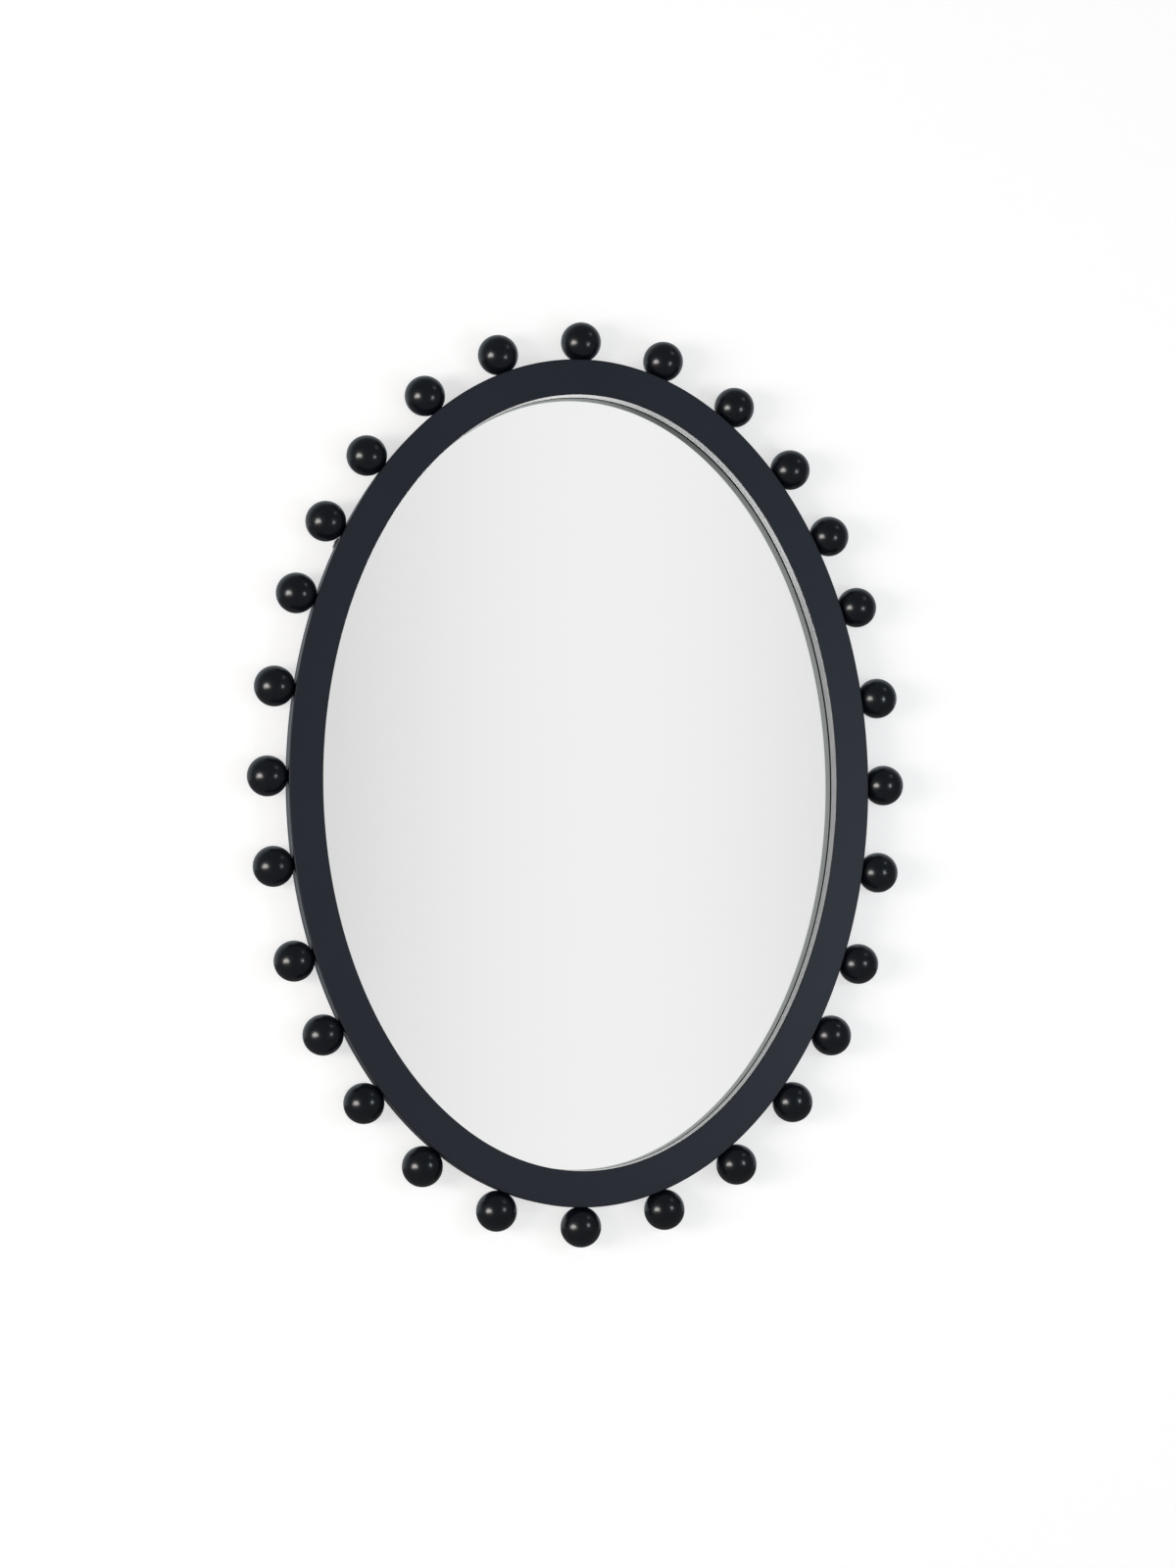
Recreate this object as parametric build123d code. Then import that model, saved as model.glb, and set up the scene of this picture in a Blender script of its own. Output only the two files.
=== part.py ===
from build123d import *
import math
import os

# An oval wall mirror in a flat black frame, with a ring of wooden beads round its outer edge.
# The origin is the centre of the oval on the wall. +Z is up and +X is to the right seen from the
# front, which faces -Y. A standoff is a distance from the wall towards the front.

# Frame: two oval layers of board, glued face to face
FACE_WIDTH = 582.0
FACE_HEIGHT = 836.0
SIDE_RAIL_WIDTH = 33.5
END_RAIL_WIDTH = 35.5
FRONT_LAYER = 12.0
BACK_LAYER = 15.0
FACE_ROUND = 0.8
SEAM_EASE = 0.3
BACK_EASE = 1.0

# Glass and what holds it in from behind
GLASS_RECESS = 17.5
GLASS_THICKNESS = 4.0
GLASS_ARRIS = 0.5
GLASS_POCKET_REACH = 7.0
GLASS_EDGE_CLEARANCE = 1.0
BOARD_THICKNESS = 3.0
BOARD_POCKET_REACH = 15.0
BOARD_EDGE_CLEARANCE = 0.5
BOARD_SCREW_COUNT = 12

# Beads, each planed flat where it meets the frame and held by a dowel
BEAD_DIAMETER = 40.0
BEAD_FLAT_DEPTH = 0.7
BEAD_SPACINGS = (0.98, 0.99, 0.99, 0.92, 0.92, 1.13, 1.06)
DOWEL_DIAMETER = 6.0
DOWEL_IN_FRAME = 11.0
DOWEL_IN_BEAD = 13.0
DOWEL_GLUE_GAP = 0.1
DOWEL_END_GAP = 0.5

# Wall bumpers on the back of the frame
BUMPER_DIAMETER = 14.0
BUMPER_ROUND = 1.2
WALL_CLEARANCE = 1.0

# Strap hangers with their captive rings
STRAP_WIDTH = 12.0
STRAP_SHEET = 0.8
STRAP_LENGTH = 40.0
STRAP_SCREW_INSET = 7.5
STRAP_SCREW_PITCH = 15.0
RING_WIRE = 2.5
RING_INNER_WIDTH = 15.5
RING_INNER_HEIGHT = 13.0
RING_CORNER = 2.5
EYE_CLEARANCE = 0.1
RING_REST_GAP = 0.3

# Screws
BOARD_SCREW_DIAMETER = 3.0
BOARD_SCREW_LENGTH = 12.0
BOARD_SCREW_HEAD = 5.6
BOARD_SCREW_HEAD_RIM = 0.3
STRAP_SCREW_DIAMETER = 3.5
STRAP_SCREW_LENGTH = 12.0
STRAP_SCREW_HEAD = 6.8
STRAP_SCREW_HEAD_HEIGHT = 2.2
STRAP_SCREW_HEAD_ROUND = 1.2
SCREW_CLEARANCE = 0.1

# How many beads there are from the one at the top, clockwise, before a hanger or a bumper
HANGER_BEAD_COUNT = 5
BUMPER_BEAD_COUNTS = (3, 11)

# Worked out from the sizes above
half_width = FACE_WIDTH / 2
half_height = FACE_HEIGHT / 2
opening_half_width = half_width - SIDE_RAIL_WIDTH
opening_half_height = half_height - END_RAIL_WIDTH
frame_depth = FRONT_LAYER + BACK_LAYER
bead_radius = BEAD_DIAMETER / 2
wire_radius = RING_WIRE / 2
eye_radius = wire_radius + EYE_CLEARANCE
eye_outer_radius = eye_radius + STRAP_SHEET
strap_thickness = 2 * STRAP_SHEET

bead_overhang = bead_radius - frame_depth / 2
hanger_height = max(
    strap_thickness + RING_WIRE + RING_REST_GAP,
    strap_thickness + STRAP_SCREW_HEAD_HEIGHT,
    2 * eye_outer_radius,
)
bumper_height = max(bead_overhang, hanger_height) + WALL_CLEARANCE

back_standoff = bumper_height
seam_standoff = back_standoff + BACK_LAYER
face_standoff = seam_standoff + FRONT_LAYER
bead_standoff = back_standoff + frame_depth / 2
glass_front = face_standoff - GLASS_RECESS
glass_back = glass_front - GLASS_THICKNESS
board_front = back_standoff + BOARD_THICKNESS

rail_land = min(SIDE_RAIL_WIDTH, END_RAIL_WIDTH) - BOARD_POCKET_REACH
ledge_middle_reach = (GLASS_POCKET_REACH + BOARD_POCKET_REACH) / 2
ring_wire_half_width = (RING_INNER_WIDTH + RING_WIRE) / 2
ring_wire_height = RING_INNER_HEIGHT + RING_WIRE
hinge_offset = STRAP_LENGTH / 2
ring_lean = math.degrees(
    math.asin((eye_outer_radius - wire_radius - RING_REST_GAP) / ring_wire_height)
)
ring_fold_stop = math.degrees(
    math.asin((strap_thickness + wire_radius + RING_REST_GAP - eye_outer_radius) / ring_wire_height)
)

OVERCUT = 1.0
ROUND_STEPS = 3


def oval_slab(half_x, half_z, near, far):
    """A solid oval that lies between two standoffs."""
    outline = Plane.XZ.offset(near) * Ellipse(half_x, half_z)
    return extrude(outline, amount=far - near)


def quarter_round(radius):
    """Depth from the face and distance from the side, down a rounded edge from face to side."""
    angles = [math.radians(90 * step / ROUND_STEPS) for step in range(ROUND_STEPS + 1)]
    return [(radius * (1 - math.cos(a)), radius * (1 - math.sin(a))) for a in angles]


def rounded_slab(half_x, half_z, near, far, near_round, far_round, side=1):
    """An oval slab with rounded edges. A side of -1 gives the plug of a rounded opening."""
    levels = [(near + depth, inset) for depth, inset in quarter_round(near_round)]
    levels += [(far - depth, inset) for depth, inset in reversed(quarter_round(far_round))]
    outlines = [
        Plane.XZ.offset(standoff) * Ellipse(half_x - side * inset, half_z - side * inset)
        for standoff, inset in levels
    ]
    return loft(outlines, ruled=True)


def oval_behind_opening(reach, near, far):
    """A solid oval that reaches past the opening's edge on all sides."""
    return oval_slab(opening_half_width + reach, opening_half_height + reach, near, far)


def outline_place(half_x, half_z, share, standoff):
    """The point, upright tangent and outward direction a share of the way round an oval."""
    side = 1 if share <= 0.5 else -1
    along = share if side > 0 else 1 - share
    outline = Edge.make_ellipse(half_x, half_z, plane=Plane.XZ)
    place = (outline.param_at_point((0, 0, half_z)) - along) % 1
    found = outline.position_at(place)
    tangent = outline.tangent_at(place).normalized()
    point = Vector(side * found.X, -standoff, found.Z)
    upright = Vector(side * tangent.X, 0, tangent.Z)
    outward = Vector(side * tangent.Z, 0, -tangent.X)
    return point, upright, outward


def bead_shares():
    """Where each bead sits, as a share of the way round clockwise from the top."""
    quarter = list(BEAD_SPACINGS)
    steps = 2 * (quarter + quarter[::-1])
    shares = [0.0]
    for step in steps[:-1]:
        shares.append(shares[-1] + step / sum(steps))
    return shares


def share_after_bead(number):
    """The middle of the gap between one bead and the next."""
    shares = bead_shares()
    return (shares[number - 1] + shares[number]) / 2


def edge_plane(share):
    """A plane on the frame's edge at mid-thickness, with its Z pointing outward."""
    point, upright, outward = outline_place(half_width, half_height, share, bead_standoff)
    return Plane(origin=point, x_dir=upright, z_dir=outward)


def back_plane(share):
    """A plane on the back of the rail, with X up along the rail and Z towards the wall."""
    inset = rail_land / 2
    point, upright, _ = outline_place(
        half_width - inset, half_height - inset, share, back_standoff
    )
    return Plane(origin=point, x_dir=upright, z_dir=(0, 1, 0))


def turned(outline):
    """A profile drawn in X and Z, turned round the Z axis."""
    return revolve(Plane.XZ * make_face(outline), axis=Axis.Z)


def front_ring(bores):
    """The flat oval face with rounded front edges."""
    levels = (seam_standoff, face_standoff)
    rounds = (SEAM_EASE, FACE_ROUND)
    ring = rounded_slab(half_width, half_height, *levels, *rounds)
    ring -= rounded_slab(opening_half_width, opening_half_height, *levels, *rounds, side=-1)
    return ring - bores


def back_ring(bores):
    """The thicker layer, with stepped pockets for the glass and the board."""
    levels = (back_standoff, seam_standoff)
    rounds = (BACK_EASE, SEAM_EASE)
    ring = rounded_slab(half_width, half_height, *levels, *rounds)
    ring -= rounded_slab(opening_half_width, opening_half_height, *levels, *rounds, side=-1)
    ring -= oval_behind_opening(GLASS_POCKET_REACH, back_standoff, glass_front)
    ring -= oval_behind_opening(BOARD_POCKET_REACH, back_standoff, board_front)
    return ring - bores


def mirror_pane():
    """The silvered glass, which rests on the lip in front of its pocket."""
    reach = GLASS_POCKET_REACH - GLASS_EDGE_CLEARANCE
    half_x = opening_half_width + reach
    half_z = opening_half_height + reach
    return rounded_slab(half_x, half_z, glass_back, glass_front, GLASS_ARRIS, GLASS_ARRIS)


def foam_sheet():
    """The sheet that fills the room between the glass and the board."""
    reach = GLASS_POCKET_REACH - GLASS_EDGE_CLEARANCE
    return oval_behind_opening(reach, board_front, glass_back)


def backing_board(bores):
    """The board that closes the back, flush with the frame."""
    reach = BOARD_POCKET_REACH - BOARD_EDGE_CLEARANCE
    return oval_behind_opening(reach, back_standoff, board_front) - bores


def bead():
    """One ball on its flat, drilled for the dowel. Its Z axis points away from the frame."""
    centre = bead_radius - BEAD_FLAT_DEPTH
    flat_radius = math.sqrt(bead_radius**2 - centre**2)
    bore_radius = DOWEL_DIAMETER / 2 + DOWEL_GLUE_GAP
    bore_depth = DOWEL_IN_BEAD + DOWEL_END_GAP
    pole = centre + bead_radius
    outline = Polyline((0, pole), (0, bore_depth), (bore_radius, bore_depth), (bore_radius, 0))
    outline += Line((bore_radius, 0), (flat_radius, 0))
    outline += ThreePointArc((flat_radius, 0), (bead_radius, centre), (0, pole))
    return turned(outline)


def dowel():
    """One dowel, half in the frame and half in the bead."""
    length = DOWEL_IN_FRAME + DOWEL_IN_BEAD
    return Pos(0, 0, -DOWEL_IN_FRAME) * Cylinder(
        DOWEL_DIAMETER / 2, length, align=(Align.CENTER, Align.CENTER, Align.MIN)
    )


def dowel_bore():
    """The hole for one dowel in the frame's edge."""
    depth = DOWEL_IN_FRAME + DOWEL_END_GAP
    return Pos(0, 0, -depth) * Cylinder(
        DOWEL_DIAMETER / 2 + DOWEL_GLUE_GAP,
        depth + OVERCUT,
        align=(Align.CENTER, Align.CENTER, Align.MIN),
    )


def countersunk_screw(grow=0.0):
    """A board screw from its flush head along Z, or with grow the hole that it goes in."""
    shank = BOARD_SCREW_DIAMETER / 2
    head = BOARD_SCREW_HEAD / 2
    neck = BOARD_SCREW_HEAD_RIM + head - shank
    length = BOARD_SCREW_LENGTH
    return turned(
        Polyline(
            (0, 0),
            (head + grow, 0),
            (head + grow, BOARD_SCREW_HEAD_RIM),
            (shank + grow, neck),
            (shank + grow, length - shank),
            (0, length + grow),
            close=True,
        )
    )


def pan_head_screw():
    """A strap screw along Z, with its domed head standing on Z = 0."""
    shank = STRAP_SCREW_DIAMETER / 2
    head = STRAP_SCREW_HEAD / 2
    crown = -STRAP_SCREW_HEAD_HEIGHT
    screw = turned(
        Polyline(
            (0, crown),
            (head, crown),
            (head, 0),
            (shank, 0),
            (shank, STRAP_SCREW_LENGTH - shank),
            (0, STRAP_SCREW_LENGTH),
            close=True,
        )
    )
    return fillet(screw.edges().group_by(Axis.Z)[0], STRAP_SCREW_HEAD_ROUND)


def strap_screw_bore():
    """The hole for a strap screw in the strap and the rail."""
    return Cylinder(
        STRAP_SCREW_DIAMETER / 2 + SCREW_CLEARANCE,
        STRAP_SCREW_LENGTH + SCREW_CLEARANCE,
        align=(Align.CENTER, Align.CENTER, Align.MIN),
    )


def strap_screw_places():
    """Where the screws pass through the strap, seen from its middle."""
    upper = hinge_offset - STRAP_SCREW_INSET - eye_outer_radius
    return [upper, upper - STRAP_SCREW_PITCH]


def hanger_strap():
    """A strip folded double round the ring's straight side. X is up, Z is out of the frame."""
    end = -STRAP_LENGTH / 2
    eye = (hinge_offset, eye_outer_radius)
    ease = 2 * eye_outer_radius
    side = Polyline(
        (end, 0),
        (hinge_offset, 0),
        (hinge_offset, 2 * eye_outer_radius),
        (hinge_offset - ease, strap_thickness),
        (end, strap_thickness),
        close=True,
    )
    profile = Plane.XZ * (make_face(side) + Pos(*eye) * Circle(eye_outer_radius))
    profile -= Plane.XZ * Pos(*eye) * Circle(eye_radius)
    strap = extrude(profile, amount=STRAP_WIDTH / 2, both=True)
    strap = fillet(strap.edges().filter_by(Axis.Z).group_by(Axis.X)[0], STRAP_WIDTH / 3)
    for place in strap_screw_places():
        strap -= Pos(place, 0, 0) * strap_screw_bore()
    return strap


def hanger_ring():
    """A D-shaped wire ring with its straight side on the Y axis and its bow along X."""
    half = ring_wire_half_width
    corner = RING_CORNER
    bow = ring_wire_height - half
    start = (0, 0)
    turn = corner * (1 - math.sqrt(0.5))
    path = Line(start, (0, half - corner))
    path += ThreePointArc((0, half - corner), (turn, half - turn), (corner, half))
    path += Line((corner, half), (bow, half))
    path += ThreePointArc((bow, half), (ring_wire_height, 0), (bow, -half))
    path += Line((bow, -half), (corner, -half))
    path += ThreePointArc((corner, -half), (turn, turn - half), (0, corner - half))
    path += Line((0, corner - half), start)
    return sweep(Plane.XZ * Circle(wire_radius), path=path)


def wall_bumper():
    """A rubber foot with a rounded rim. Z is towards the wall."""
    bumper = Cylinder(
        BUMPER_DIAMETER / 2, bumper_height, align=(Align.CENTER, Align.CENTER, Align.MIN)
    )
    return fillet(bumper.edges().group_by(Axis.Z)[-1], BUMPER_ROUND)


def board_screw_planes():
    """Planes on the back of the board over the middle of the ledge, with Z into the frame."""
    planes = []
    for number in range(BOARD_SCREW_COUNT):
        share = (number + 0.5) / BOARD_SCREW_COUNT
        point, upright, _ = outline_place(
            opening_half_width + ledge_middle_reach,
            opening_half_height + ledge_middle_reach,
            share,
            back_standoff,
        )
        planes.append(Plane(origin=point, x_dir=upright, z_dir=(0, -1, 0)))
    return planes


def into_rail(place, standoff):
    """A move on the back of the rail that turns Z into the frame."""
    return Pos(place, 0, standoff) * Rot(180, 0, 0)


def hinge_location():
    """The middle of the eye on a plane of the rail's back."""
    return Pos(hinge_offset, 0, eye_outer_radius)


def build_nodes():
    """Every piece by its node name."""
    bead_planes = [edge_plane(share) for share in bead_shares()]
    hanger_share = share_after_bead(HANGER_BEAD_COUNT)
    hanger_planes = {"right": back_plane(hanger_share), "left": back_plane(1 - hanger_share)}
    screw_planes = board_screw_planes()

    dowel_bores = [plane * dowel_bore() for plane in bead_planes]
    board_bores = [plane * countersunk_screw(SCREW_CLEARANCE) for plane in screw_planes]
    strap_bores = []
    strap_screws = []
    for plane in hanger_planes.values():
        for place in strap_screw_places():
            drive = plane * into_rail(place, strap_thickness)
            strap_bores.append(drive * strap_screw_bore())
            strap_screws.append(drive * pan_head_screw())

    nodes = {
        "front_ring": front_ring(dowel_bores),
        "back_ring": back_ring(dowel_bores + board_bores + strap_bores),
        "mirror_pane": mirror_pane(),
        "foam_sheet": foam_sheet(),
        "backing_board": backing_board(board_bores),
        "board_screws": Compound([plane * countersunk_screw() for plane in screw_planes]),
        "bead_dowels": Compound([plane * dowel() for plane in bead_planes]),
        "hanger_screws": Compound(strap_screws),
    }
    for number, plane in enumerate(bead_planes, start=1):
        nodes[f"bead_{number:02d}"] = plane * bead()
    for side, plane in hanger_planes.items():
        nodes[f"hanger_strap_{side}"] = plane * hanger_strap()
        nodes[f"hanger_ring_{side}"] = plane * hinge_location() * Rot(0, ring_lean, 0) * hanger_ring()
    for level, bead_number in zip(("upper", "lower"), BUMPER_BEAD_COUNTS):
        share = share_after_bead(bead_number)
        nodes[f"wall_bumper_{level}_right"] = back_plane(share) * wall_bumper()
        nodes[f"wall_bumper_{level}_left"] = back_plane(1 - share) * wall_bumper()

    for side, plane in hanger_planes.items():
        hinge = (plane * hinge_location()).position
        axis = plane.x_dir.cross(Vector(0, 1, 0))
        print("hinge", side, hinge, "axis", axis, "swing to", 180 - ring_lean - ring_fold_stop)
    return nodes


os.makedirs("parts", exist_ok=True)
for name, piece in build_nodes().items():
    export_step(piece, f"parts/{name}.step")
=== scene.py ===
import math

import bmesh
import bpy
from bpy.props import FloatProperty, FloatVectorProperty, PointerProperty
from mathutils import Matrix, Vector


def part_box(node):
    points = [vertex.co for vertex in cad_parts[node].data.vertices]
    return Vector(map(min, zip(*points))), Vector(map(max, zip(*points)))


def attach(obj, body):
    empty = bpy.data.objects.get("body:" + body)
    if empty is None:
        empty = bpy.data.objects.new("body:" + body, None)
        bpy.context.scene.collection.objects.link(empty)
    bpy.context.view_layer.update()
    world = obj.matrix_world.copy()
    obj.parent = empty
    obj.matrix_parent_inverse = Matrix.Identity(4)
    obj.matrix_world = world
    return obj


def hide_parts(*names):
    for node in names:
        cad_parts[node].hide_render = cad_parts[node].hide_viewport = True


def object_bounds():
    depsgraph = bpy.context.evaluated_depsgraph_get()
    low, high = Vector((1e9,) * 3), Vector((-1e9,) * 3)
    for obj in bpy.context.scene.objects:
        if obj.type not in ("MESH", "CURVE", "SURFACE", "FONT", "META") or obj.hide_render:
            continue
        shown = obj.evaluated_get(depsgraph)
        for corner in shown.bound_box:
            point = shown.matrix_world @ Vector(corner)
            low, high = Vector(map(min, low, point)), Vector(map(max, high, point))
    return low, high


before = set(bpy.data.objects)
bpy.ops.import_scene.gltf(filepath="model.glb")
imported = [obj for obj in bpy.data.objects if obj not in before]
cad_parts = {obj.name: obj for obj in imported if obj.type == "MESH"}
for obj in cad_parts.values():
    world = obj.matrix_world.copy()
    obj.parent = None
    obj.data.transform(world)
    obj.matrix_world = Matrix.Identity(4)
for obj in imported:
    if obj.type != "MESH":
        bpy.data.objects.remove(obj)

bl_info = {
    "name": "Beaded Oval Mirror",
    "version": (1, 0, 0),
    "blender": (4, 5, 0),
    "location": "3D View > Sidebar > Oval Mirror",
    "description": "Finishes the pieces of an oval wall mirror with a ring of beads round its edge",
    "category": "Add Mesh",
}

CAD_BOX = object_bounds()
MM = 0.001

# How finely the pieces are divided
OVAL_STEPS = 480
ROUND_STEPS = 6
BEAD_STEPS_ROUND = 56
BEAD_STEPS_DOWN = 32
SCREW_STEPS = 40
ARC_SAMPLES = 7200
SHARP_ANGLE = math.radians(32)

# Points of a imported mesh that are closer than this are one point
SAME_POINT = 0.001 * MM

# Foot of a screw's cross recess against its mouth, rim of a countersunk head, shank against head
RECESS_TAPER = 0.7
HEAD_RIM = 0.1 * MM
SHANK_SHARE = 0.5

# How far each screw is turned on from the one before, in radians
SCREW_TURN_STEP = 2.4

# How slick the paint on the outer side is against that on the side of the opening
OUTER_SLICK = 0.15

# How far the silvering stays in front of the foam
FILM_CLEARANCE = 0.05 * MM

# Where each part of the room begins and is whole, as a share of a direction
WINDOW_BESIDE_RANGE = (0.2, 0.35)
WINDOW_UNDER_RANGE = (0.05, 0.12)
WALL_LIGHT_RANGE = (-0.1, 0.3)
WALL_SHINE_RANGE = (0, 0.7)
LEAST_FORWARD = 0.05

# How far the camera sees
FAR_CLIP = 100

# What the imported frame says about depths, with the wall at zero and the front on the negative side
front_low, front_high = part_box("front_ring")
_, back_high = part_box("back_ring")
pane_low, pane_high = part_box("mirror_pane")
board_low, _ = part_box("backing_board")
face_standoff = -front_low.y
seam_standoff = -front_high.y
back_standoff = -back_high.y
glass_front = -pane_low.y
glass_back = -pane_high.y
board_front = -board_low.y
object_centre = (CAD_BOX[0] + CAD_BOX[1]) / 2


def length(name, description, default):
    """A property for a length in metres."""
    return FloatProperty(
        name=name, description=description, default=default, min=0, precision=4, unit="LENGTH"
    )


def share(name, description, default):
    """A property for a number from nothing to one."""
    return FloatProperty(name=name, description=description, default=default, min=0, max=1)


def colour(name, description, default):
    """A property for a colour."""
    return FloatVectorProperty(
        name=name, description=description, default=default, size=3, min=0, max=1, subtype="COLOR"
    )


class FrameSizes(bpy.types.PropertyGroup):
    """Sizes of the two glued layers of the frame."""

    face_width: length("Face width", "Width of the flat oval face", 582 * MM)
    face_height: length("Face height", "Height of the flat oval face", 836 * MM)
    rail_at_sides: length("Rail at sides", "Width of the face left and right", 33.5 * MM)
    rail_at_ends: length("Rail at ends", "Width of the face at top and bottom", 35.5 * MM)
    face_round: length("Face rounding", "Radius of the front edges", 1.2 * MM)
    seam_ease: length("Seam easing", "Radius of the edges at the glued seam", 0.3 * MM)
    back_ease: length("Back easing", "Radius of the outer edge at the back", 1.0 * MM)
    glass_pocket: length("Glass pocket", "How far the glass pocket goes under the face", 7 * MM)
    board_pocket: length("Board pocket", "How far the board pocket goes under the face", 15 * MM)


class GlassSizes(bpy.types.PropertyGroup):
    """Sizes of the mirror glass."""

    cover: length("Cover", "How far the glass goes behind the face", 6 * MM)
    arris: length("Arris", "Size of the ground edge of the glass", 0.5 * MM)


class BeadSizes(bpy.types.PropertyGroup):
    """Sizes and spacing of the beads."""

    diameter: length("Diameter", "Diameter of a bead", 40 * MM)
    flat_depth: length("Flat", "Depth of the flat that is planed on a bead", 0.7 * MM)
    spacings: FloatVectorProperty(
        name="Spacings",
        description="Relative gaps between the beads from the top round to the side",
        default=(0.98, 0.99, 0.99, 0.92, 0.92, 1.13, 1.06),
        size=7,
        min=0.1,
    )


class ScrewSizes(bpy.types.PropertyGroup):
    """Sizes of the cross recess in the screw heads."""

    arm_share: share("Arm length", "Length of the cross against the head", 0.56)
    arm_width: length("Arm width", "Width of one arm of the cross", 0.9 * MM)
    recess_depth: length("Recess depth", "Depth of the cross", 1.1 * MM)
    dome: length("Dome", "Height of the domed part of a strap screw's head", 1.2 * MM)
    domed_height: length("Domed head", "Height of a strap screw's head", 2.2 * MM)


class Finishes(bpy.types.PropertyGroup):
    """Colours of the finishes."""

    frame_black: colour("Frame black", "Satin paint on the frame", (0.012, 0.016, 0.0275))
    bead_black: colour("Bead black", "Satin paint on the beads", (0.0032, 0.0045, 0.0074))
    glass_tint: colour("Glass tint", "Colour of the glass seen through", (0.978, 0.985, 0.981))
    silver: colour("Silver", "Silvering behind the glass", (0.985, 0.985, 0.983))
    fibreboard: colour("Fibreboard", "Bare fibreboard", (0.27, 0.165, 0.085))
    zinc: colour("Zinc", "Bright zinc on steel", (0.66, 0.67, 0.68))
    rubber: colour("Rubber", "Wall bumpers", (0.03, 0.03, 0.031))
    foam: colour("Foam", "Sheet between the glass and the board", (0.72, 0.73, 0.74))
    beech: colour("Beech", "Dowels", (0.56, 0.36, 0.2))
    frame_rough: share("Frame roughness", "Least roughness of the paint on the face", 0.43)
    bead_rough: share("Bead roughness", "Least roughness of the paint on the beads", 0.2)
    board_rough: share("Board roughness", "Least roughness of the fibreboard", 0.72)
    zinc_rough: share("Zinc roughness", "Least roughness of the zinc plate", 0.27)
    rubber_rough: share("Rubber roughness", "Least roughness of the bumpers", 0.68)
    foam_rough: share("Foam roughness", "Least roughness of the foam", 0.85)
    beech_rough: share("Beech roughness", "Least roughness of the dowels", 0.6)
    frame_relief: length("Frame relief", "Depth of the spray texture on the frame", 0.03 * MM)
    bead_relief: length("Bead relief", "Depth of the grain and spray on the beads", 0.012 * MM)
    board_relief: length("Board relief", "Depth of the fibres of the board", 0.06 * MM)
    zinc_relief: length("Zinc relief", "Depth of the drawing marks in the zinc", 0.008 * MM)
    rubber_relief: length("Rubber relief", "Depth of the texture of the bumpers", 0.05 * MM)
    foam_relief: length("Foam relief", "Depth of the cells of the foam", 0.12 * MM)
    beech_relief: length("Beech relief", "Depth of the pores of the dowels", 0.04 * MM)


class StudioSettings(bpy.types.PropertyGroup):
    """Camera, lamps, wall and floor."""

    camera_azimuth: FloatProperty(
        name="Camera azimuth",
        description="Angle of the camera round the mirror",
        default=math.radians(-12),
        unit="ROTATION",
    )
    camera_elevation: FloatProperty(
        name="Camera elevation",
        description="Angle of the camera above the mirror's middle",
        default=math.radians(-4.2),
        unit="ROTATION",
    )
    camera_distance: length("Camera distance", "From the camera to the mirror", 3.6)
    focal_length: FloatProperty(
        name="Focal length", description="Lens of the camera", default=83.8, unit="CAMERA"
    )
    aim_right: length("Aim right", "How far right of the middle the camera aims", 7.3 * MM)
    aim_down: length("Aim down", "How far under the middle the camera aims", 3.0 * MM)
    floor_drop: length("Floor drop", "From the mirror's middle down to the floor", 0.84)
    room_size: length("Room size", "Width of the wall and the floor", 9.0)
    wall_white: colour("Wall white", "Paint of the wall and the floor", (0.52, 0.52, 0.52))
    wall_glow: share("Wall glow", "White that the camera sees on them besides their paint", 0.607)
    wall_shine: share("Wall shine", "Brightness of the wall in satin finishes", 0.6)
    floor_bounce: share("Floor bounce", "Light that the floor gives besides its paint", 0.15)
    front_light: share("Front light", "Soft light from the room in front", 0.34)
    wall_light: share("Wall light", "Soft light thrown back by the wall", 0.7)
    room_shine: share("Room shine", "Brightness of the room in satin finishes", 0.13)
    room_tint: colour("Room tint", "Colour of the room in satin finishes", (0.84, 0.93, 1.0))
    panel_white: share("Panel white", "Brightness of the panel that the mirror shows", 0.94)
    panel_middle: share("Panel middle", "Sideways over forward where the panel is brightest", 0.222)
    panel_fall: FloatProperty(
        name="Panel fall", description="How fast the panel dims to its sides", default=32
    )
    panel_edge: share("Panel edge", "Brightness of the panel's sides against its middle", 0.8)
    window_beside: share("Window beside", "Brightness of the window beside the panel", 0.8)
    window_under: FloatProperty(
        name="Window under", description="Brightness of the window under the panel", default=1.5
    )
    lip_shine: share("Lip shine", "Brightness of the room in the opening's side in the mirror", 0.6)
    lip_tint: colour("Lip tint", "Colour of the room in the opening's side", (0.94, 1.0, 0.965))


GROUPS = {
    "mirror_frame": FrameSizes,
    "mirror_glass": GlassSizes,
    "mirror_beads": BeadSizes,
    "mirror_screws": ScrewSizes,
    "mirror_finishes": Finishes,
    "mirror_studio": StudioSettings,
}


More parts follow.
